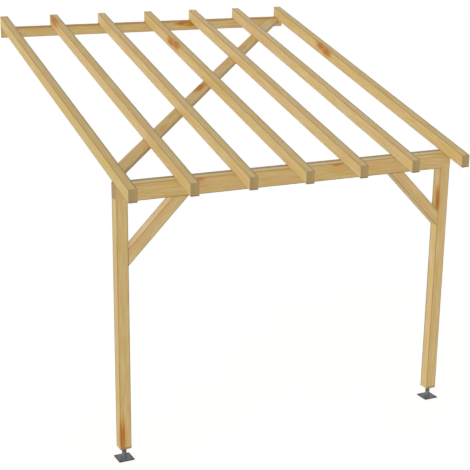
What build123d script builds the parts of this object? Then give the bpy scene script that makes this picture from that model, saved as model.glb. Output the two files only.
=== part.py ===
from build123d import *
import os
from math import cos, radians, sin, tan

os.makedirs("parts", exist_ok=True)

# Lean-to carport frame in millimetres and degrees.
# X runs along the beam, +Y points into the wall, Z is up.
# The origin is the middle of the wall plate's back face.

# Layout
rafter_count = 7
rafter_spacing = 500.0
roof_pitch = 16.64
clear_height = 2150.0
wall_to_beam_front = 3080.0
rafter_overhang = 255.0

# Rafters
rafter_width = 75.0
rafter_depth = 100.0

# Seats: how far the rafters' lower faces pass below the tops of beam and wall plate at their fronts.
# The beam is bevelled for the rafters, and the rafters are notched over the wall plate.
seat_depth = 17.0

# Wall plate
wall_plate_thickness = 45.0
wall_plate_height = 100.0

# Front beam
beam_thickness = 95.0
beam_height = 147.0
post_housing_depth = 20.0

# Posts
post_size = 95.0

# Knee braces
knee_size = 95.0
knee_run = 510.0
knee_rise = 510.0

# Flat diagonal brace under the rafters
brace_width = 100.0
brace_thickness = 40.0
brace_plate_clearance = 5.0

# Eased long edges of the planed timber
arris = 3.0

# Steel post feet
foot_height = 100.0
base_plate_size = 130.0
base_plate_thickness = 8.0
anchor_hole_spacing = 90.0
anchor_hole_diameter = 13.0
stem_diameter = 38.0
top_plate_size = 80.0
top_plate_thickness = 5.0
screw_hole_spacing = 56.0
screw_hole_diameter = 9.0

# Plan lines
frame_width = (rafter_count - 1) * rafter_spacing + rafter_width
half_width = frame_width / 2
beam_front = -wall_to_beam_front
beam_back = beam_front + beam_thickness
rafter_front = beam_front - rafter_overhang
plate_front = -wall_plate_thickness
post_inner = half_width - post_size
post_middle_x = half_width - post_size / 2
post_middle_y = beam_front + post_size / 2

# Levels, worked out from the wall plate down to the ground
pitch_angle = radians(roof_pitch)
slope_share = tan(pitch_angle)
plate_top = wall_plate_height / 2
beam_top = plate_top - (plate_front - beam_front) * slope_share
beam_bottom = beam_top - beam_height
ground = beam_bottom - clear_height
post_bottom = ground + foot_height
post_top = beam_bottom + post_housing_depth

# Directions of the roof plane
up_the_roof = Vector(0, cos(pitch_angle), sin(pitch_angle))
out_of_the_roof = Vector(0, -sin(pitch_angle), cos(pitch_angle))


def underside(y):
    """Height of the rafters' lower faces."""
    return beam_top - seat_depth + (y - beam_front) * slope_share


def section(width, depth):
    """Outline of a planed timber with eased corners: from the origin, width to the right and depth down."""
    return Pos(width / 2, -depth / 2) * chamfer(Rectangle(width, depth).vertices(), arris)


def bevelled_section(width, depth):
    """The same outline with its top planed off to the roof's pitch, deepest on the left side."""
    bevel_rise = width * slope_share
    below_bevel = Polygon((0, -depth), (width, -depth), (width, bevel_rise - seat_depth),
                          (0, -seat_depth), align=None)
    return section(width, depth) & below_bevel


def timber(start, along, across, outline, length):
    """A length of timber from the start. The outline's width lies across, and its depth on the side
    that points down when the timber runs along +X with +Y across."""
    return extrude(Plane(origin=start, x_dir=across, z_dir=along) * outline, amount=length)


def block(x_range, y_range, z_range):
    """A plain block between two limits on each axis."""
    sizes = [high - low for low, high in (x_range, y_range, z_range)]
    middle = [(low + high) / 2 for low, high in (x_range, y_range, z_range)]
    return Pos(*middle) * Box(*sizes)


def rafter_x(number):
    """Middle of one rafter, numbered from the left."""
    return (number - (rafter_count + 1) / 2) * rafter_spacing


def make_wall_plate():
    """The plate along the wall, which the rafters are notched over."""
    start = Vector(-half_width, plate_front, plate_top)
    outline = section(wall_plate_thickness, wall_plate_height)
    return timber(start, Vector(1, 0, 0), Vector(0, 1, 0), outline, frame_width)


def make_post():
    """The right post, from the top of its foot into the beam's housing."""
    start = Vector(post_inner, beam_front + post_size, post_bottom)
    outline = section(post_size, post_size)
    return timber(start, Vector(0, 0, 1), Vector(1, 0, 0), outline, post_top - post_bottom)


def make_front_beam():
    """The beam over both posts, bevelled on top for the rafters, with a housing in its underside
    at each end that takes a post's top."""
    start = Vector(-half_width, beam_front, beam_top)
    outline = bevelled_section(beam_thickness, beam_height)
    beam = timber(start, Vector(1, 0, 0), Vector(0, 1, 0), outline, frame_width)
    y_range = (beam_front - arris, beam_front + max(post_size, beam_thickness) + arris)
    z_range = (beam_bottom - arris, post_top)
    housing = block((post_inner, half_width + arris), y_range, z_range)
    return beam - housing - mirror(housing, about=Plane.YZ)


def make_rafter(number):
    """One rafter, plumb cut at both ends, laid on the beam's bevel and notched over the wall plate."""
    left = rafter_x(number) - rafter_width / 2
    x_range = (left - arris, left + rafter_width + arris)
    end_waste = rafter_depth * slope_share
    low_y = rafter_front - end_waste
    start = Vector(left, low_y, underside(low_y))
    blank_length = (end_waste - low_y) / cos(pitch_angle) + end_waste
    outline = section(rafter_width, rafter_depth)
    blank = timber(start, up_the_roof, Vector(1, 0, 0), outline, blank_length)
    z_range = (underside(rafter_front) - rafter_depth, underside(0) + rafter_depth + rafter_depth)
    plumb_cut = blank & block(x_range, (rafter_front, 0), z_range)
    notch = block(x_range, (plate_front, wall_plate_thickness), (-plate_top, plate_top))
    return plumb_cut - notch


def make_knee_brace():
    """The right knee brace, mitred to the post's inner side and the beam's underside."""
    along = Vector(-knee_run, 0, knee_rise).normalized()
    foot = Vector(post_inner, beam_front, beam_bottom - knee_rise)
    length = Vector(knee_run, 0, knee_rise).length
    blank = timber(foot, along, Vector(0, 1, 0), section(knee_size, knee_size), length)
    y_range = (beam_front, beam_front + knee_size)
    corner = block((post_inner - knee_run, post_inner), y_range, (beam_bottom - knee_rise, beam_bottom))
    return blank & corner


def make_diagonal_brace():
    """The flat board under the rafters. Its front edge starts at the beam, under the middle of the
    first rafter, and crosses the middle of the last one a small clearance in front of the wall plate."""
    high_y = plate_front - brace_plate_clearance
    low = Vector(rafter_x(1), beam_back, underside(beam_back))
    high = Vector(rafter_x(rafter_count), high_y, underside(high_y))
    along = (high - low).normalized()
    across = out_of_the_roof.cross(along)
    end_waste = brace_width * 2
    start = low - along * end_waste
    length = (high - low).length + end_waste * 2
    blank = timber(start, along, across, section(brace_width, brace_thickness), length)
    z_range = (low.Z - brace_width - brace_thickness, high.Z + brace_width)
    ends = block((low.X, high.X + brace_width), (beam_back, plate_front), z_range)
    return blank & ends


def drilled_plate(size, thickness, hole_spacing, hole_diameter, bottom):
    """A square steel plate under the right post, with a hole near each corner."""
    plate = Box(size, size, thickness)
    holes = GridLocations(hole_spacing, hole_spacing, 2, 2) * Cylinder(hole_diameter / 2, thickness * 2)
    return Pos(post_middle_x, post_middle_y, bottom + thickness / 2) * (plate - holes)


def make_foot():
    """The right post's foot: base plate on the ground, round stem, and top plate under the post."""
    stem_bottom = ground + base_plate_thickness
    stem_top = post_bottom - top_plate_thickness
    stem_length = stem_top - stem_bottom
    stem_middle = Pos(post_middle_x, post_middle_y, stem_bottom + stem_length / 2)
    stem = stem_middle * Cylinder(stem_diameter / 2, stem_length)
    return {
        "foot_base_plate": drilled_plate(base_plate_size, base_plate_thickness, anchor_hole_spacing,
                                         anchor_hole_diameter, ground),
        "foot_stem": stem,
        "foot_top_plate": drilled_plate(top_plate_size, top_plate_thickness, screw_hole_spacing,
                                        screw_hole_diameter, stem_top),
    }


# Every piece by its node name
pieces = {
    "wall_plate": make_wall_plate(),
    "front_beam": make_front_beam(),
    "diagonal_brace": make_diagonal_brace(),
}
for number in range(1, rafter_count + 1):
    pieces[f"rafter_{number}"] = make_rafter(number)
right_hand = {"post": make_post(), "knee_brace": make_knee_brace(), **make_foot()}
for name, piece in right_hand.items():
    pieces[f"right_{name}"] = piece
    pieces[f"left_{name}"] = mirror(piece, about=Plane.YZ)

for name, piece in pieces.items():
    export_step(piece, f"parts/{name}.step")
    box = piece.bounding_box()
    print(name, [round(value, 1) for value in (*box.min, *box.max)], round(piece.volume))
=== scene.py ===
# %% [markdown]
# # The bare frame of a lean-to carport
# Fourteen planed spruce timbers stand on two coated steel feet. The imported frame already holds
# every timber with its bevel, notches, mitres and eased edges, so no timber is modelled again here.
# What the timbers still lack is their figure. This lesson gives it to them as solid wood: rings,
# streaks and knots are worked out in space, so long faces, edges and cut ends agree.

# %% Load the frame
import math

import bpy
import numpy as np
from mathutils import Matrix, Vector


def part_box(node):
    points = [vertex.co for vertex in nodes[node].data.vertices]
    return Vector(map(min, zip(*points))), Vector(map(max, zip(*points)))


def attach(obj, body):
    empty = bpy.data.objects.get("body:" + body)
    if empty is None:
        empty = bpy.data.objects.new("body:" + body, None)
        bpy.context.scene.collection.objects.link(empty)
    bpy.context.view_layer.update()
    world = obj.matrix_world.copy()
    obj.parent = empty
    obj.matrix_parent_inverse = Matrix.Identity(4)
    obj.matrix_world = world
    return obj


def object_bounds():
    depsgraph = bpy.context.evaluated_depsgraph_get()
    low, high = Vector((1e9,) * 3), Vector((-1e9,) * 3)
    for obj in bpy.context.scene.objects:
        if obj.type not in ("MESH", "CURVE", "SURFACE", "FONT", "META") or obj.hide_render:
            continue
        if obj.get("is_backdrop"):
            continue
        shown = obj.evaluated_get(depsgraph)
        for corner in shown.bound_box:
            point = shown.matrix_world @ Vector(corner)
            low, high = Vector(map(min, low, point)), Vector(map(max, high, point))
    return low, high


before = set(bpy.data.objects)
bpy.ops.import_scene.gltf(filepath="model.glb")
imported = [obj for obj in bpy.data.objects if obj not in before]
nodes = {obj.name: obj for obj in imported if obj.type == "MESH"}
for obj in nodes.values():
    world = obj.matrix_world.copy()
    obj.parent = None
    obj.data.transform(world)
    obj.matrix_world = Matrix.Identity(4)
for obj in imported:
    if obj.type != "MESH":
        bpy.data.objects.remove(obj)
cad_low, cad_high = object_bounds()
scene = bpy.context.scene
print("nodes:", len(nodes), "box:", [round(value, 3) for value in (*cad_low, *cad_high)])

# %% [markdown]
# Every colour below is an sRGB hex value, as a colour picker shows it, while shader sockets take
# linear light. One function turns the first into the second. A second function adds a shader
# node, sets its options and fills its inputs, so that a material reads as a short list of steps. A
# third lays colours over each other.

# %% Colours and nodes
MM = 0.001
FACTOR, FIRST, SECOND, MIXED = 0, 6, 7, 2


def linear(hex_colour):
    """Linear RGBA of an sRGB hex colour: c / 12.92 near black, else ((c + 0.055) / 1.055) ** 2.4."""
    coded = np.array([int(hex_colour[place:place + 2], 16) for place in (1, 3, 5)]) / 255
    light = np.where(coded <= 0.04045, coded / 12.92, ((coded + 0.055) / 1.055) ** 2.4)
    return (*light.tolist(), 1.0)


def add(tree, kind, inputs=None, **settings):
    """One shader node. Settings are its own options. An input takes a value, a socket that feeds it,
    or a node, of which the first output feeds it."""
    node = tree.nodes.new("ShaderNode" + kind)
    for name, value in settings.items():
        setattr(node, name, value)
    for name, value in (inputs or {}).items():
        if isinstance(value, bpy.types.Node):
            value = value.outputs[0]
        if isinstance(value, bpy.types.NodeSocket):
            tree.links.new(value, node.inputs[name])
        else:
            node.inputs[name].default_value = value
    return node


def layered(tree, colour, layers):
    """Colour of a surface on which each layer, a share and its tint, is mixed over the last."""
    for share, tint in layers:
        colour = add(tree, "Mix", {FACTOR: share, FIRST: colour, SECOND: tint},
                     data_type="RGBA").outputs[MIXED]
    return colour


def empty_material(name):
    """A material with an empty node tree, and that tree."""
    material = bpy.data.materials.new(name)
    material.use_nodes = True
    material.node_tree.nodes.clear()
    return material, material.node_tree


print("mid grey in linear light:", [round(value, 3) for value in linear("#808080")])

# %% [markdown]
# Grain follows the tree, so each timber needs its own three directions: along its length, across
# it, and through it. Level and upright timbers take theirs from the axes. The rafters follow the
# roof's pitch, and the flat brace runs slantwise in the plane of the roof.

# %% The way each timber runs
ROOF_PITCH = math.radians(16.64)
RAFTER_COUNT = 7
X, Y, Z = Matrix.Identity(3)
up_the_roof = Y * math.cos(ROOF_PITCH) + Z * math.sin(ROOF_PITCH)
out_of_the_roof = Z * math.cos(ROOF_PITCH) - Y * math.sin(ROOF_PITCH)
brace_reach = Vector(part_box("diagonal_brace")[1]) - Vector(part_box("diagonal_brace")[0])
along_brace = X * brace_reach.x + up_the_roof * (brace_reach.y / math.cos(ROOF_PITCH))
along_brace.normalize()

timber_runs = {
    "wall_plate": (X, Y),
    "front_beam": (X, Y),
    "left_post": (Z, X),
    "right_post": (Z, X),
    "left_knee_brace": ((Z + X).normalized(), Y),
    "right_knee_brace": ((Z - X).normalized(), Y),
    "diagonal_brace": (along_brace, out_of_the_roof.cross(along_brace)),
}
for number in range(1, RAFTER_COUNT + 1):
    timber_runs[f"rafter_{number}"] = (up_the_roof, X)
print("timbers:", len(timber_runs), "brace runs along", [round(value, 3) for value in along_brace])

# %% [markdown]
# A pattern has to sit at the same place in every timber of a kind, so it needs the timber's middle
# and its half-size. These could be typed in, but then they would be wrong after the next change to
# the frame. Here they are measured: the timber's own corners are turned into its three directions,
# and the lowest and highest values give both.

# %% Middle and half-size of each timber
def timber_axes(name):
    """The timber's directions along, across and through, as the rows of a matrix."""
    along, across = timber_runs[name]
    return np.array([along, across, along.cross(across)])


def timber_section(name):
    """Middle of the timber in the frame, and its half-size along, across and through, in metres."""
    mesh = nodes[name].data
    places = np.empty(len(mesh.vertices) * 3)
    mesh.vertices.foreach_get("co", places)
    axes = timber_axes(name)
    measured = places.reshape(-1, 3) @ axes.T
    low, high = measured.min(axis=0), measured.max(axis=0)
    return Vector((low + high) / 2 @ axes), (high - low) / 2


for name in ("left_post", "rafter_1", "diagonal_brace"):
    print(name, "half-size", (timber_section(name)[1] / MM).round(1).tolist(), "mm")

# %% [markdown]
# The timber is spruce, planed and wiped with a clear honey glaze. Planing leaves a smooth, dull
# surface, and the glaze adds a soft sheen. The eye sees pale early wood, amber late wood at the
# end of each year's ring, streaks of honey and rose along the fibres, and red-brown knots. Each
# pattern has a real size. Rings of 3 mm and fibres of half a millimetre are too fine to show
# from this far off, so they are drawn about three times as wide.

# %% Sizes and colours of the figure
RING_WIDTH = 8 * MM
WANDER_SIZE = Vector((900, 160, 160)) * MM
WANDER_REACH = 14 * MM
STREAK_SIZE = Vector((240, 11, 11)) * MM
BLUSH_SIZE = Vector((420, 40, 40)) * MM
FIBRE_SIZE = Vector((60, 1.5, 1.5)) * MM
PIN_KNOT_SPACING = Vector((420, 95, 95)) * MM
WANDER_DETAIL, STREAK_DETAIL, BLUSH_DETAIL, FIBRE_DETAIL = 2.0, 3.0, 1.0, 2.0
ONE_PER_CELL = 1.0

STRAW = linear("#D9C392")
HONEY = linear("#CDAB5F")
ROSE = linear("#D6AC7C")
LATE_WOOD = linear("#C09C5C")
RESIN = linear("#CF9A50")
KNOT = linear("#B06C28")
print("ring", RING_WIDTH / MM, "mm, streak", tuple(STREAK_SIZE / MM), "mm")

# %% [markdown]
# A knot is the root of a branch, so it sits at one place in one timber and stains the wood along
# the grain. The large ones are listed: how far they lie along, across and through the
# timber from its middle, and half their length and width. One whose middle lies outside the face
# shows only its pale skin. Small pin knots come from scattered cells, of which only some carry one.

# %% The large knots, in millimetres
LARGE_KNOTS = {
    "left_post": [((-920, -34, -47), (260, 60))],
    "right_post": [((740, -55, -26), (190, 44))],
    "front_beam": [((400, -58, 60), (100, 36)), ((-842, -64, 52), (90, 34))],
    "wall_plate": [((480, -26, 14), (180, 42)), ((365, -35, 18), (130, 38))],
    "diagonal_brace": [((-115, 24, 16), (200, 60)), ((1086, 6, 50), (220, 60)),
                       ((-1100, -10, 54), (200, 56))],
    "rafter_2": [((1640, -38, -26), (200, 62))],
    "rafter_4": [((1035, -38, -16), (140, 58)), ((915, -40, -28), (125, 56))],
    "rafter_7": [((600, -38, -16), (165, 60)), ((715, -38, -26), (140, 56))],
}
print("large knots:", sum(len(knots) for knots in LARGE_KNOTS.values()))

# %% [markdown]
# Grain coordinates come first: a Mapping node moves the pattern's origin to the timber's middle
# and turns it so that x runs along the timber. A slow noise then bends them, because no tree is
# dead straight, and that bend draws the pointed arches seen on flat-sawn faces.

# %% Grain coordinates
def grain_coordinates(tree, name):
    """Place in the timber in metres, (along, across, through), straight and with the tree's wander."""
    turn = Matrix(timber_axes(name)).transposed().to_euler()
    middle = timber_section(name)[0]
    place = add(tree, "TexCoord").outputs["Object"]
    straight = add(tree, "Mapping", {"Vector": place, "Location": middle, "Rotation": turn},
                   vector_type="TEXTURE")
    slow = add(tree, "Mapping", {"Vector": straight, "Scale": WANDER_SIZE, "Location": middle},
               vector_type="TEXTURE")
    bend = add(tree, "TexNoise", {"Vector": slow, "Scale": ONE_PER_CELL, "Detail": WANDER_DETAIL},
               normalize=False)
    sideways = Vector((0, WANDER_REACH, WANDER_REACH))
    wander = add(tree, "VectorMath", {0: bend.outputs["Color"], 1: sideways, 2: straight},
                 operation="MULTIPLY_ADD")
    return straight, wander


print("wander:", WANDER_REACH / MM, "mm either way")

# %% [markdown]
# Rings are cylinders round the heart of the tree, which lies beside the timber, since posts and
# rafters of this grade are sawn clear of it. The Wave texture draws them with a saw profile: pale
# wood that darkens to the end of the year and stops sharply. Streaks, blush and fibres are noise
# stretched along the grain to the sizes above.

# %% Rings, streaks and fibres
WAVE_RINGS = 20 / (2 * math.pi)
HEART_STRETCH = (30, 1, 1)
RING_WOBBLE = {"Distortion": 1.2, "Detail": 2.0, "Detail Scale": 0.6}
LATE_WOOD_SPAN = {"From Min": 0.45, "From Max": 1.0}


def stretched_noise(tree, grain, size, seed_place, detail):
    """Noise whose cells have the given size along, across and through the timber."""
    cells = add(tree, "Mapping", {"Vector": grain, "Scale": size, "Location": seed_place},
                vector_type="TEXTURE")
    return add(tree, "TexNoise", {"Vector": cells, "Scale": ONE_PER_CELL, "Detail": detail})


def growth_rings(tree, wander, heart, swelling):
    """Rings round the heart line: 0 in early wood, rising to 1 in late wood. A knot swells them. The
    Wave texture draws 20 / (2 pi) rings in a metre at scale 1."""
    round_heart = add(tree, "Mapping", {"Vector": wander, "Location": heart, "Scale": HEART_STRETCH},
                      vector_type="TEXTURE")
    rings = add(tree, "TexWave", {"Vector": round_heart, "Scale": 1 / (WAVE_RINGS * RING_WIDTH),
                                  "Phase Offset": swelling, **RING_WOBBLE},
                wave_type="RINGS", rings_direction="X", wave_profile="SAW")
    return add(tree, "MapRange", {"Value": rings.outputs["Fac"], **LATE_WOOD_SPAN},
               interpolation_type="SMOOTHSTEP")


print("rings in a metre:", round(1 / RING_WIDTH))

# %% [markdown]
# Each large knot is an ellipsoid that is long along the grain. A spherical gradient falls from 1
# at its middle to 0 at its skin, and the strongest of a timber's knots wins at each point.

# %% Knots
PIN_SPAN = {"From Min": 0.14, "From Max": 0.02, "To Max": 0.5}
PIN_CHANCE = 0.15
FEATHER_SPAN = {"From Min": 0.3, "From Max": 0.7, "To Min": 0.6, "To Max": 1.3}


def knot_strength(tree, wander, streaks, name):
    """1 in the middle of a knot, falling to 0 where clear wood begins, feathered by the streaks."""
    cells = add(tree, "Mapping", {"Vector": wander, "Scale": PIN_KNOT_SPACING}, vector_type="TEXTURE")
    pins = add(tree, "TexVoronoi", {"Vector": cells, "Scale": ONE_PER_CELL}).outputs
    near = add(tree, "MapRange", {"Value": pins["Distance"], **PIN_SPAN})
    pick = add(tree, "SeparateColor", {0: pins["Color"]})
    chosen = add(tree, "Math", {0: pick, 1: 1 - PIN_CHANCE}, operation="GREATER_THAN")
    strength = add(tree, "Math", {0: near, 1: chosen}, operation="MULTIPLY")
    for place, (half_length, half_width) in LARGE_KNOTS.get(name, []):
        skin = Vector((half_length, half_width, half_width)) * MM
        inside = add(tree, "Mapping", {"Vector": wander, "Location": Vector(place) * MM, "Scale": skin},
                     vector_type="TEXTURE")
        fall = add(tree, "TexGradient", {"Vector": inside}, gradient_type="SPHERICAL")
        strength = add(tree, "Math", {0: strength, 1: fall.outputs["Fac"]}, operation="MAXIMUM")
    feather = add(tree, "MapRange", {"Value": streaks, **FEATHER_SPAN})
    return add(tree, "Math", {0: strength, 1: feather}, operation="MULTIPLY")


print("pin knots about every", tuple(PIN_KNOT_SPACING / MM), "mm, with a chance of", PIN_CHANCE)

# %% [markdown]
# Saw, plane and weather leave marks on the surface, which no pattern through the wood can give.
# A cut end drinks the glaze and turns darker and greyer, most of all towards its left side, and
# water that drips off leaves a dark lower edge. Cut ends that face left get painted shade as well.
# The beam's bevel and the upper left face of the left knee get painted light, a paler wood that
# lifts the shade of the timbers beside them. Both narrow sides of the flat brace get painted shade.
# Dust settles on tops that are level. The left faces of the left post and the first rafter, which
# have no neighbour to their left, get painted shade in an olive tint. Rain that drives at the front
# wets the posts above their feet. A mark could be painted on a map for each face. Here it is found
# by the way its face looks, so it keeps its place from every side.

# %% Marks on cut ends and faces
CUT_END = linear("#A38D63")
# The grey and the worn edge colours below serve for dirt and also for painted shade.
GREYED_EDGE_AND_SHADE = linear("#8A7E60")
WORN_EDGE_AND_SHADE = linear("#946A2F")
# Pale wood for painted light.
PAINTED_LIGHT_PALE = linear("#E2CFA6")
SETTLED_DUST = linear("#8B7B5C")
DAMP_END = linear("#857A64")
# Olive tint for painted shade.
PAINTED_SHADE_OLIVE = linear("#BAA852")

BEVELLED_TIMBER, SHADED_SIDES_TIMBER = "front_beam", "diagonal_brace"
PAINTED_LIGHT_TIMBERS = ("left_knee_brace",)
PAINTED_SHADE_TIMBERS = ("left_post", "rafter_1")
IN_SECTION = Vector((0, 1, 1))
RAIN_AND_LIGHT_SIDE = Vector((-0.60, -0.75, 0.28))
RAIN_AND_LIGHT_SPAN = {"From Min": 0.64, "From Max": 0.72}
CUT_SPAN = {"From Min": 0.6, "From Max": 0.7, "To Max": 0.9}
PAINTED_SHADE_END_SPAN = {"From Min": 0.6, "From Max": 0.9, "To Max": 0.32}
PALE_SIDE_SHARE, GREY_FROM = 0.78, 0.5
LEVEL_SPAN = {"From Min": 0.95, "From Max": 0.99, "To Max": 0.4}
BEVEL_SPAN = {"From Min": 0.985, "From Max": 0.998, "To Max": 0.4}
PAINTED_LIGHT_SIDE = Vector((-1, 0, 1)).normalized()
PAINTED_LIGHT_SPAN = {"From Min": 0.8, "From Max": 0.95, "To Max": 0.45}
SHADED_SIDES_SPAN = {"From Min": 0.9, "From Max": 0.95, "To Max": 0.35}
PAINTED_SHADE_LEFT_SPAN = {"From Min": 0.9, "From Max": 0.99, "To Max": 0.2}
DRIP_FADE, DRIP_FULL, DRIP_SHARE = 16 * MM, 8 * MM, 0.85
DAMP_FADE, DAMP_FULL, DAMP_SHARE = 24 * MM, 9 * MM, 0.75


def looks_towards(tree, direction, span):
    """Share that rises as a face turns towards a direction, from the cosine at the span's start."""
    normal = add(tree, "NewGeometry").outputs["True Normal"]
    cosine = add(tree, "VectorMath", {0: normal, 1: direction}, operation="DOT_PRODUCT").outputs["Value"]
    return add(tree, "MapRange", {"Value": cosine, **span})


def end_marks(tree, name, straight):
    """Layers of colour on the cut ends: end grain, painted shade on ends that face left, and the dark edge
    where water drips.
    """
    along, size = timber_runs[name][0], timber_section(name)[1]
    either_end = [looks_towards(tree, along * sign, CUT_SPAN) for sign in (1, -1)]
    sawn_end = add(tree, "Math", {0: either_end[0], 1: either_end[1]}, operation="MAXIMUM")
    leftward = Vector(timber_axes(name) @ -X) * IN_SECTION
    to_left = add(tree, "VectorMath", {0: straight, 1: leftward}, operation="DOT_PRODUCT")
    greyed = add(tree, "MapRange", {"Value": to_left.outputs["Value"], "From Min": -size[1],
                                    "From Max": GREY_FROM * size[1], "To Min": PALE_SIDE_SHARE})
    cut_end = add(tree, "Math", {0: sawn_end, 1: greyed}, operation="MULTIPLY")
    # Painted shade: cut ends that face left are darkened with the worn edge brown.
    painted_shade_end = add(tree, "Math", {0: looks_towards(tree, -X, PAINTED_SHADE_END_SPAN), 1: cut_end}, operation="MULTIPLY")
    lower_side = Vector((0, 0, -np.sign(timber_axes(name)[2, 2])))
    below = add(tree, "VectorMath", {0: straight, 1: lower_side}, operation="DOT_PRODUCT")
    low_edge = add(tree, "MapRange", {"Value": below.outputs["Value"], "From Min": size[2] - DRIP_FADE,
                                      "From Max": size[2] - DRIP_FULL, "To Max": DRIP_SHARE})
    drip = add(tree, "Math", {0: low_edge, 1: cut_end}, operation="MULTIPLY")
    return [(cut_end, CUT_END), (painted_shade_end, WORN_EDGE_AND_SHADE), (drip, GREYED_EDGE_AND_SHADE)]


def face_marks(tree, name, straight):
    """Layers of colour on the long faces: dust, painted light on the bevel and the left knee, painted
    shade on open left faces and on the brace's narrow sides, and damp.
    """
    layers = [(looks_towards(tree, Z, LEVEL_SPAN), SETTLED_DUST)]
    # Painted light: the beam's bevel is paled to lift the shade the rafters cast on it.
    if name == BEVELLED_TIMBER:
        layers.append((looks_towards(tree, out_of_the_roof, BEVEL_SPAN), PAINTED_LIGHT_PALE))
    # Painted light: the left knee's upper left face is paled to lift the shade of the post and beam.
    if name in PAINTED_LIGHT_TIMBERS:
        layers.append((looks_towards(tree, PAINTED_LIGHT_SIDE, PAINTED_LIGHT_SPAN), PAINTED_LIGHT_PALE))
    # Painted shade: the left faces of the left post and the first rafter are dulled with an olive tint.
    if name in PAINTED_SHADE_TIMBERS:
        layers.append((looks_towards(tree, -X, PAINTED_SHADE_LEFT_SPAN), PAINTED_SHADE_OLIVE))
    # Painted shade: both narrow sides of the flat brace are darkened with the grey edge colour.
    if name == SHADED_SIDES_TIMBER:
        for sign in (1, -1):
            layers.append((looks_towards(tree, timber_runs[name][1] * sign, SHADED_SIDES_SPAN), GREYED_EDGE_AND_SHADE))
    if timber_runs[name][0] == Z:
        foot = -timber_section(name)[1][0]
        height = add(tree, "SeparateXYZ", {0: straight})
        low_down = add(tree, "MapRange", {"Value": height, "From Min": foot + DAMP_FADE,
                                          "From Max": foot + DAMP_FULL, "To Max": DAMP_SHARE})
        facing_rain_and_light = looks_towards(tree, RAIN_AND_LIGHT_SIDE, RAIN_AND_LIGHT_SPAN)
        layers.append((add(tree, "Math", {0: low_down, 1: facing_rain_and_light}, operation="MULTIPLY"), DAMP_END))
    return layers


print("damp above the feet:", DAMP_FADE / MM, "mm, drip line:", DRIP_FADE / MM, "mm")

# %% [markdown]
# Along the eased edges the glaze collects dirt in a brown line. The edges that face the front left,
# where the light comes from, keep that thin line. The others get a broader and greyer line, which is
# painted shade. On a face turned away from the front left it is broad, but on that face's lower
# edge, where no dust falls, it is faint. The wall plate gets a broad dark line along its front top
# edge, and the flat brace one along the lower edge of its front narrow side, where it is painted
# shade. Real lines are 3 to 5 mm wide, which is too fine to show, so they are drawn two to five times
# as wide. A line could be modelled or painted on a map, but the distance from the edge is known at
# every point, so a ramp on it is enough. The signs of the place tell the four edges apart.

# %% Lines along the eased edges
THIN_LINE, BROAD_LINE, ONE_EDGE_LINE, CORE_SHARE = 8 * MM, 18 * MM, 26 * MM, 0.45
FAR_FROM_EDGES = 50 * MM
# Painted shade on the edges turned away from the front left, where the light comes from.
SHADE_EDGE_SPAN = {"From Min": 0.9, "From Max": 0.6}
ONE_EDGE_SPAN = {"From Min": 1.0, "From Max": 2.0}
LOWER_SPAN = {"From Min": -0.2, "From Max": -0.5}
LIT_EDGE_SHARE, SHADE_EDGE_SHARE, FAINT_SHARE = 0.6, 0.92, 0.8
# The darkest edge as signs across and through, its share of the line, and that of the other edges. On the
# brace this line is painted shade
ONE_EDGE_TIMBERS = {"wall_plate": ((-1, 1), 0.58, 0.5), "diagonal_brace": ((-1, -1), 0.45, 0.0)}
SEAT_DEPTH = 17 * MM
BEVEL_LINES = (5 * MM, SEAT_DEPTH / math.tan(ROOF_PITCH))


def edge_distance(tree, name, straight):
    """Distance from the nearest long edge: the length of (|across| - half, |through| - half). On the
    beam, the bevel's two edges count as well: a run r from the front they lie seat - r tan(pitch)
    below the top. Its front line sits a little way up the bevel."""
    half = Vector(timber_section(name)[1]) * IN_SECTION
    spread = add(tree, "VectorMath", {0: straight}, operation="ABSOLUTE")
    edges = [(spread, half)]
    if name == BEVELLED_TIMBER:
        for run in BEVEL_LINES:
            drop = SEAT_DEPTH - run * math.tan(ROOF_PITCH)
            edges.append((straight, Vector((0, run - half.y, half.z - drop))))
    nearest = FAR_FROM_EDGES
    for place, edge in edges:
        offset = add(tree, "VectorMath", {0: place, 1: IN_SECTION, 2: -edge}, operation="MULTIPLY_ADD")
        distance = add(tree, "VectorMath", {0: offset}, operation="LENGTH").outputs["Value"]
        nearest = add(tree, "Math", {0: distance, 1: nearest}, operation="MINIMUM")
    return nearest


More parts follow.
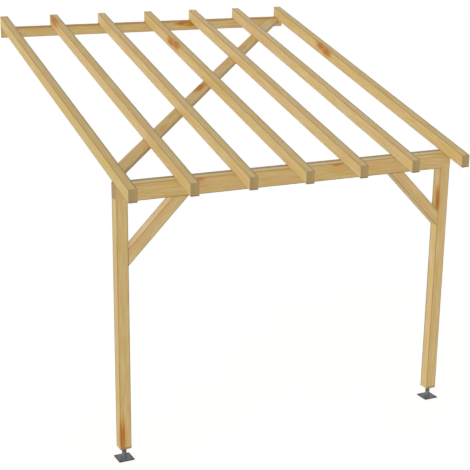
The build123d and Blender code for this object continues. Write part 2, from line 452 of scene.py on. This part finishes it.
def edge_line(tree, name, straight):
    """Layer of colour along the long edges: a thin brown line, or a broader and greyer line of painted
    shade on edges turned away from the light.
    """
    one_edge = name in ONE_EDGE_TIMBERS
    lit_side = Vector(timber_axes(name) @ RAIN_AND_LIGHT_SIDE) * IN_SECTION
    signs, darkest_share, lightest_share = ONE_EDGE_TIMBERS.get(name, (lit_side.yz, SHADE_EDGE_SHARE, LIT_EDGE_SHARE))
    towards = Vector((0, *signs))
    sides = add(tree, "VectorMath", {0: straight}, operation="SIGN")
    reached = add(tree, "VectorMath", {0: sides, 1: towards}, operation="DOT_PRODUCT").outputs["Value"]
    # Painted shade: edges turned away from the light get the broader, greyer line.
    darker_edge = add(tree, "MapRange", {"Value": reached, **(ONE_EDGE_SPAN if one_edge else SHADE_EDGE_SPAN)})
    if one_edge:
        reach = add(tree, "MapRange", {"Value": darker_edge, "To Min": THIN_LINE, "To Max": ONE_EDGE_LINE})
        kept = 1.0
    else:
        upward = Vector(timber_axes(name) @ Z) * IN_SECTION
        rise = add(tree, "VectorMath", {0: sides, 1: upward}, operation="DOT_PRODUCT").outputs["Value"]
        lower = add(tree, "MapRange", {"Value": rise, **LOWER_SPAN})
        facing_rain_and_light = looks_towards(tree, RAIN_AND_LIGHT_SIDE, RAIN_AND_LIGHT_SPAN)
        narrow = add(tree, "Math", {0: lower, 1: facing_rain_and_light}, operation="MAXIMUM")
        broad = add(tree, "Math", {0: darker_edge, 1: narrow}, operation="SUBTRACT")
        reach = add(tree, "MapRange", {"Value": broad, "To Min": THIN_LINE, "To Max": BROAD_LINE})
        faint = add(tree, "Math", {0: lower, 1: facing_rain_and_light}, operation="SUBTRACT")
        kept = add(tree, "MapRange", {"Value": faint, "To Min": 1.0, "To Max": FAINT_SHARE})
    core = add(tree, "Math", {0: reach, 1: CORE_SHARE}, operation="MULTIPLY")
    near = add(tree, "MapRange", {"Value": edge_distance(tree, name, straight), "From Min": reach,
                                  "From Max": core})
    darkness = add(tree, "MapRange", {"Value": darker_edge, "To Min": lightest_share, "To Max": darkest_share})
    line = add(tree, "Math", {0: near, 1: darkness}, operation="MULTIPLY")
    share = add(tree, "Math", {0: line, 1: kept}, operation="MULTIPLY")
    tint = add(tree, "Mix", {FACTOR: 0.0 if one_edge else darker_edge, FIRST: WORN_EDGE_AND_SHADE, SECOND: GREYED_EDGE_AND_SHADE},
               data_type="RGBA")
    return share, tint.outputs[MIXED]


print("lines along the edges:", THIN_LINE / MM, "mm, or", BROAD_LINE / MM, "mm where sheltered")

# %% [markdown]
# Now the wood is layered from these patterns: straw and honey by the streaks, rose by the blush,
# the cut end, the late wood of the rings, resin and knot, and the marks of the surface with their
# painted light and shade last. Some timbers took the glaze deeper than others, which moves the
# streaks towards honey. On the first rafter part of that shift is painted shade.

# %% Colour of the wood
STREAK_LOW, STREAK_HIGH = 0.30, 0.70
BLUSH_SPAN = {"From Min": 0.5, "From Max": 0.75, "To Max": 0.7}
RESIN_SPAN = {"From Min": 0.02, "From Max": 0.5, "To Max": 0.85}
KNOT_SPAN = {"From Min": 0.28, "From Max": 0.75, "To Max": 0.92}
RING_SHARE = 0.2
# On rafter_1 part of the deeper glaze is painted shade.
DEEPER_GLAZE_AND_SHADE = {"rafter_1": 0.04, "rafter_2": 0.02, "rafter_4": 0.03, "rafter_5": -0.02,
                "rafter_6": -0.02, "rafter_7": 0.03, "front_beam": 0.03, "wall_plate": -0.03,
                "left_knee_brace": -0.04, "right_post": -0.02}


def wood_colour(tree, name, straight, streaks, blush, rings, knots):
    """Colour of one timber: straw wood under its figure, its knots and the marks of its surface."""
    glaze_and_shade = DEEPER_GLAZE_AND_SHADE.get(name, 0.0)
    honey = add(tree, "MapRange", {"Value": streaks, "From Min": STREAK_LOW - glaze_and_shade,
                                   "From Max": STREAK_HIGH - glaze_and_shade})
    rose = add(tree, "MapRange", {"Value": blush, **BLUSH_SPAN})
    late = add(tree, "Math", {0: rings, 1: RING_SHARE}, operation="MULTIPLY")
    resin = add(tree, "MapRange", {"Value": knots, **RESIN_SPAN}, interpolation_type="SMOOTHSTEP")
    knot = add(tree, "MapRange", {"Value": knots, **KNOT_SPAN}, interpolation_type="SMOOTHSTEP")
    cut_end, *end_stains = end_marks(tree, name, straight)
    layers = [(honey, HONEY), (rose, ROSE), cut_end, (late, LATE_WOOD), (resin, RESIN), (knot, KNOT),
              *face_marks(tree, name, straight), *end_stains, edge_line(tree, name, straight)]
    return layered(tree, STRAW, layers)


print("deeper or paler glaze on", len(DEEPER_GLAZE_AND_SHADE), "timbers")

# %% [markdown]
# Roughness and bump follow the fibres and rings, because late wood is harder and planes a little
# prouder. Each timber gets its own material, with its own heart line and its own place in the
# noise, so that no two timbers show the same figure.

# %% Planed spruce
HEART_DISTANCE, HEART_SHIFT = 70 * MM, 1.0
SEED_SPREAD = 9.0
KNOT_SWELLING = 6.0
RING_RELIEF = 0.5
RELIEF_DEPTH, RELIEF_STRENGTH = 0.4 * MM, 0.35
SHEEN_SPAN = {"From Min": 0.2, "From Max": 1.2, "To Min": 0.62, "To Max": 0.46}
GLAZE = {"IOR": 1.45, "Specular IOR Level": 0.35}
FIGURE_SEED = 16
rng = np.random.default_rng(FIGURE_SEED)


def planed_spruce(name):
    """Spruce, planed and glazed, with the figure of one timber."""
    material, tree = empty_material(f"planed_spruce.{name}")
    side = rng.uniform(0, 2 * math.pi)
    beside = Vector((0, math.cos(side), math.sin(side))) * HEART_DISTANCE
    heart = X * rng.uniform(-HEART_SHIFT, HEART_SHIFT) + beside
    seed_place = Vector(rng.uniform(-SEED_SPREAD, SEED_SPREAD, 3))
    straight, wander = grain_coordinates(tree, name)
    streaks = stretched_noise(tree, wander, STREAK_SIZE, seed_place, STREAK_DETAIL)
    knots = knot_strength(tree, wander, streaks, name)
    swelling = add(tree, "Math", {0: knots, 1: KNOT_SWELLING}, operation="MULTIPLY")
    rings = growth_rings(tree, wander, heart, swelling)
    blush = stretched_noise(tree, wander, BLUSH_SIZE, seed_place, BLUSH_DETAIL)
    fibres = stretched_noise(tree, straight, FIBRE_SIZE, seed_place, FIBRE_DETAIL)
    colour = wood_colour(tree, name, straight, streaks, blush, rings, knots)

    ridges = add(tree, "Math", {0: rings, 1: RING_RELIEF, 2: fibres}, operation="MULTIPLY_ADD")
    relief = add(tree, "Bump", {"Height": ridges, "Strength": RELIEF_STRENGTH, "Distance": RELIEF_DEPTH})
    roughness = add(tree, "MapRange", {"Value": ridges, **SHEEN_SPAN})
    surface = add(tree, "BsdfPrincipled", {"Base Color": colour, "Roughness": roughness,
                                           "Normal": relief, **GLAZE})
    add(tree, "OutputMaterial", {"Surface": surface})
    return material


for name in timber_runs:
    nodes[name].data.materials.clear()
    nodes[name].data.materials.append(planed_spruce(name))
print("spruce on", len(timber_runs), "timbers")

# %% [markdown]
# The feet are mild steel plate and round bar, welded and then powder coated in dark grey. The
# coat is baked on, so it is even and dull with a faint orange peel, and a little paler where it
# is thin. Rain splashes damp soil against the upright faces close to the ground and over the rim of
# the base plates, and leaves them darker. The bar gets painted shade just below the post, darker and
# browner towards the top.

# %% Powder-coated steel
PEEL_SIZE = 4 * MM
CLOUD_SIZE = 45 * MM
PEEL_DETAIL, CLOUD_DETAIL = 1.0, 4.0
SPLASH_TOP, SPLASH_FULL = 11 * MM, 5 * MM
RIM_FADE, RIM_FULL = 14 * MM, 6 * MM
UNDER_POST_LOW, UNDER_POST_FULL, UNDER_POST_SHARE = 54 * MM, 74 * MM, 0.65
UPRIGHT_BELOW = 0.5
PEEL_DEPTH, PEEL_STRENGTH = 0.3 * MM, 0.2
THIN_COAT_SPAN = {"From Min": 0.4, "From Max": 0.7}
DULLNESS = {"To Min": 0.48, "To Max": 0.72}
COAT = linear("#66696B")
COAT_PALE = linear("#74787A")
SPLASH = linear("#434544")
PAINTED_SHADE_UNDER_POST = linear("#583A18")
COAT_IOR = 1.5

ground = cad_low.z
plate_low, plate_high = (Vector(corner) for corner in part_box("right_foot_base_plate"))
plate_half = (plate_high.x - plate_low.x) / 2
foot_middle = Vector([abs(value) for value in (plate_low + plate_high) / 2])


def splashed_share(tree, place):
    """1 on upright faces close to the ground and on the rim of a base plate, 0 elsewhere. The rim is
    found by the larger of the distances from the foot's middle, to the side and to the front."""
    height = add(tree, "SeparateXYZ", {0: place}).outputs["Z"]
    low_down = add(tree, "MapRange", {"Value": height, "From Min": ground + SPLASH_TOP,
                                      "From Max": ground + SPLASH_FULL})
    normal = add(tree, "NewGeometry").outputs["True Normal"]
    upward = add(tree, "SeparateXYZ", {0: normal}).outputs["Z"]
    upright = add(tree, "Math", {0: upward, 1: UPRIGHT_BELOW}, operation="LESS_THAN")
    low_side = add(tree, "Math", {0: low_down, 1: upright}, operation="MULTIPLY")
    one_foot = add(tree, "VectorMath", {0: place}, operation="ABSOLUTE")
    from_middle = add(tree, "VectorMath", {0: one_foot, 1: foot_middle}, operation="SUBTRACT")
    distance = add(tree, "VectorMath", {0: from_middle}, operation="ABSOLUTE")
    outwards = add(tree, "SeparateXYZ", {0: distance}).outputs
    outermost = add(tree, "Math", {0: outwards["X"], 1: outwards["Y"]}, operation="MAXIMUM")
    rim = add(tree, "MapRange", {"Value": outermost, "From Min": plate_half - RIM_FADE,
                                 "From Max": plate_half - RIM_FULL})
    return add(tree, "Math", {0: low_side, 1: rim}, operation="MAXIMUM")


def coated_steel():
    """Dark grey powder coat: clouds of thinner coat, orange peel, splashes and painted shade below the
    post.
    """
    material, tree = empty_material("powder_coated_steel")
    place = add(tree, "TexCoord").outputs["Object"]
    clouds = add(tree, "TexNoise", {"Vector": place, "Scale": 1 / CLOUD_SIZE, "Detail": CLOUD_DETAIL})
    peel = add(tree, "TexNoise", {"Vector": place, "Scale": 1 / PEEL_SIZE, "Detail": PEEL_DETAIL})
    thin = add(tree, "MapRange", {"Value": clouds, **THIN_COAT_SPAN})
    height = add(tree, "SeparateXYZ", {0: place}).outputs["Z"]
    # Painted shade: the top of the bar, just below the post, turns dark brown.
    shade_under_post = add(tree, "MapRange", {"Value": height, "From Min": ground + UNDER_POST_LOW,
                                    "From Max": ground + UNDER_POST_FULL, "To Max": UNDER_POST_SHARE})
    layers = [(thin, COAT_PALE), (splashed_share(tree, place), SPLASH), (shade_under_post, PAINTED_SHADE_UNDER_POST)]
    colour = layered(tree, COAT, layers)
    roughness = add(tree, "MapRange", {"Value": clouds, **DULLNESS})
    relief = add(tree, "Bump", {"Height": peel, "Strength": PEEL_STRENGTH, "Distance": PEEL_DEPTH})
    surface = add(tree, "BsdfPrincipled", {"Base Color": colour, "Roughness": roughness,
                                           "Normal": relief, "IOR": COAT_IOR})
    add(tree, "OutputMaterial", {"Surface": surface})
    return material


foot_steel = coated_steel()
foot_nodes = [name for name in nodes if "_foot_" in name]
for name in foot_nodes:
    nodes[name].data.materials.clear()
    nodes[name].data.materials.append(foot_steel)
print("coated steel on", sorted(foot_nodes))

# %% [markdown]
# Each bar is joined to its plates by a weld all round, which the solids leave out. A weld bead is a
# small ring with a rounded section and fine ripples, one for each dip of the rod. A torus with a
# texture would do from afar. Here the ring is a grid of points over two angles, so that the ripples
# are real and the bead sits in the corner between bar and plate.

# %% Weld beads round the bars
WELD_LEG = 6 * MM
WELD_MIDDLE_SHARE, WELD_ROUND_SHARE = 0.2, 0.5
WELD_RIPPLES = 46
WELD_RIPPLE_DEPTH = 0.4 * MM
WELD_OUTWARD = math.pi / 4
AROUND_BAR, AROUND_BEAD = 368, 14


def closed_ring(points):
    """Vertices and quads of a grid of points that closes on itself both ways."""
    rows, columns = points.shape[:2]
    index = np.arange(rows * columns).reshape(rows, columns)
    right, below = np.roll(index, -1, axis=1), np.roll(index, -1, axis=0)
    corner = np.roll(below, -1, axis=1)
    return points.reshape(-1, 3), np.stack([index, below, corner, right], axis=-1).reshape(-1, 4)


def weld_bead(middle, level, radius, upward):
    """A bead round an upright bar. With a the angle round the bar and b the angle round the bead,
    the reach from the bar's skin is leg * (0.2 + 0.5 cos b) and the rise from the plate is
    leg * (0.2 + 0.5 sin b). A ripple of small depth swells the outer side as a goes round."""
    a = np.linspace(0, 2 * np.pi, AROUND_BAR, endpoint=False)[:, None]
    b = np.linspace(0, 2 * np.pi, AROUND_BEAD, endpoint=False)[None, :]
    outer = np.clip(np.cos(b - WELD_OUTWARD), 0, 1)
    ripple = WELD_RIPPLE_DEPTH * outer * np.abs(np.sin(a * WELD_RIPPLES / 2))
    reach = radius + WELD_LEG * (WELD_MIDDLE_SHARE + WELD_ROUND_SHARE * np.cos(b)) + ripple
    rise = WELD_LEG * (WELD_MIDDLE_SHARE + WELD_ROUND_SHARE * np.sin(b)) + ripple
    return np.stack([middle.x + reach * np.cos(a), middle.y + reach * np.sin(a),
                     level + upward * rise], axis=-1)


for hand in ("left", "right"):
    low, high = (Vector(corner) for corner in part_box(f"{hand}_foot_stem"))
    radius = (high.x - low.x) / 2
    lower = closed_ring(weld_bead((low + high) / 2, low.z, radius, 1)[::-1])
    upper = closed_ring(weld_bead((low + high) / 2, high.z, radius, -1))
    verts = np.concatenate([lower[0], upper[0]])
    quads = np.concatenate([lower[1], upper[1] + len(lower[0])])
    mesh = bpy.data.meshes.new(f"{hand}_foot_welds")
    mesh.from_pydata(verts.tolist(), [], quads.tolist())
    mesh.materials.append(foot_steel)
    mesh.shade_smooth()
    welds = bpy.data.objects.new(f"{hand}_foot_welds", mesh)
    scene.collection.objects.link(welds)
    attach(welds, "root")
    print(welds.name, len(quads), "quads")

# %% [markdown]
# The floor is a plain white sheet at ground level, in a studio with bright walls and a dimmer
# ceiling. Both show plain white to the camera and to reflections through Light Path, while the
# floor still takes real light, so the frame's soft shadow stays on it.

# %% Floor and white studio
FLOOR_HALF = 90.0
FLOOR_DROP = 0.5 * MM
FLOOR_WHITE = linear("#F2F2F2")
FLOOR_LIFT = 0.42
WALL_LIGHT, CEILING_LIGHT = 0.40, 0.24
WHITE = linear("#FFFFFF")

corner_signs = ((-1, -1), (1, -1), (1, 1), (-1, 1))
corners = [(FLOOR_HALF * side, FLOOR_HALF * front, ground - FLOOR_DROP) for side, front in corner_signs]
floor_mesh = bpy.data.meshes.new("studio_floor")
floor_mesh.from_pydata(corners, [], [range(len(corners))])
floor = bpy.data.objects.new("studio_floor", floor_mesh)
scene.collection.objects.link(floor)
floor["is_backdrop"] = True


def seen_directly(tree):
    """1 for camera, glossy and transmission rays, 0 for the rays that light the object."""
    path = add(tree, "LightPath").outputs
    mirrored = add(tree, "Math", {0: path["Is Glossy Ray"], 1: path["Is Transmission Ray"]},
                   operation="MAXIMUM")
    return add(tree, "Math", {0: path["Is Camera Ray"], 1: mirrored}, operation="MAXIMUM")


floor_paint, tree = empty_material("matt_white_floor")
lift = add(tree, "Math", {0: seen_directly(tree), 1: FLOOR_LIFT}, operation="MULTIPLY")
matt = add(tree, "BsdfDiffuse", {"Color": FLOOR_WHITE})
glow = add(tree, "Emission", {"Strength": lift})
add(tree, "OutputMaterial", {"Surface": add(tree, "AddShader", {0: matt, 1: glow})})
floor_mesh.materials.append(floor_paint)

world = bpy.data.worlds.new("white_studio")
world.use_nodes = True
world.node_tree.nodes.clear()
tree = world.node_tree
upward = add(tree, "SeparateXYZ", {0: add(tree, "TexCoord").outputs["Generated"]}).outputs["Z"]
room = add(tree, "MapRange", {"Value": upward, "To Min": WALL_LIGHT, "To Max": CEILING_LIGHT})
strength = add(tree, "Math", {0: room, 1: seen_directly(tree)}, operation="MAXIMUM")
studio = add(tree, "Background", {"Color": WHITE, "Strength": strength})
add(tree, "OutputWorld", {"Surface": studio})
scene.world = world
print("floor at", round(ground, 4), "m")

# %% [markdown]
# The light comes from the left and a little from the front, low and wide, so left faces are the
# brightest, fronts and tops a step darker, and no shadow is sharp. A wide sun is a softbox so far
# away that every timber gets the same light. Most of it casts no shadow, like light that has been
# round the whole room, so the timbers don't darken each other. A faint softbox behind keeps the
# far side readable.

# %% Soft lights
# Where each stands, its light on a face turned to it, tint, width in degrees, and whether it casts shadows
SOFT_LIGHTS = {
    "left_softbox": ((-0.80, -0.36, 0.48), 0.06, "#FFFCF6", 40, True),
    "left_fill": ((-0.80, -0.36, 0.48), 0.588, "#FBFDFF", 40, False),
    "front_fill": ((0.0, -1.0, 0.2), 0.165, "#FFEFD2", 60, False),
    "back_softbox": ((0.75, 0.6, 0.3), 0.12, "#FFFFFF", 60, True),
}
for name, (towards, level, tint, spread, shadows) in SOFT_LIGHTS.items():
    lamp = bpy.data.lights.new(name, "SUN")
    lamp.use_shadow = shadows
    lamp.energy = level * math.pi
    lamp.color = linear(tint)[:3]
    lamp.angle = math.radians(spread)
    holder = bpy.data.objects.new(name, lamp)
    holder.rotation_euler = Vector(towards).to_track_quat("Z", "Y").to_euler()
    scene.collection.objects.link(holder)
    print(name, "lights a face turned to it to", level)

# %% [markdown]
# The camera stands to the left of the frame, above the roof's low edge, and looks down on it. Its
# place and lens were worked out from the outline of the timbers in the picture. The small shift
# moves the framing without turning the camera, so the uprights lean as they do there.

# %% Camera
PICTURE_SIDE = 470
FOCAL_PIXELS = 1119.8
OPTICAL_CENTRE = (188.97, 248.72)
CAMERA_PLACE = (-4.426, -10.772, 1.047)
CAMERA_YAW = math.radians(24.418)
CAMERA_PITCH = math.radians(-16.377)
FARTHEST_SEEN = 200

camera_data = bpy.data.cameras.new("camera")
camera_data.lens = camera_data.sensor_width * FOCAL_PIXELS / PICTURE_SIDE
camera_data.shift_x = (PICTURE_SIDE / 2 - OPTICAL_CENTRE[0]) / PICTURE_SIDE
camera_data.shift_y = (OPTICAL_CENTRE[1] - PICTURE_SIDE / 2) / PICTURE_SIDE
camera_data.clip_end = FARTHEST_SEEN
camera = bpy.data.objects.new("camera", camera_data)
camera.location = CAMERA_PLACE
camera.rotation_euler = (math.pi / 2 + CAMERA_PITCH, 0, -CAMERA_YAW)
scene.collection.objects.link(camera)
scene.camera = camera
scene.view_settings.view_transform = "Standard"
print("lens", round(camera_data.lens, 1), "mm")

# %% [markdown]
# Last, the box of the dressed model is printed, to set beside the box of the solids printed at the start.

# %% Size of the dressed model
low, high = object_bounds()
print("visual box:", [round(value, 3) for value in (*low, *high)])
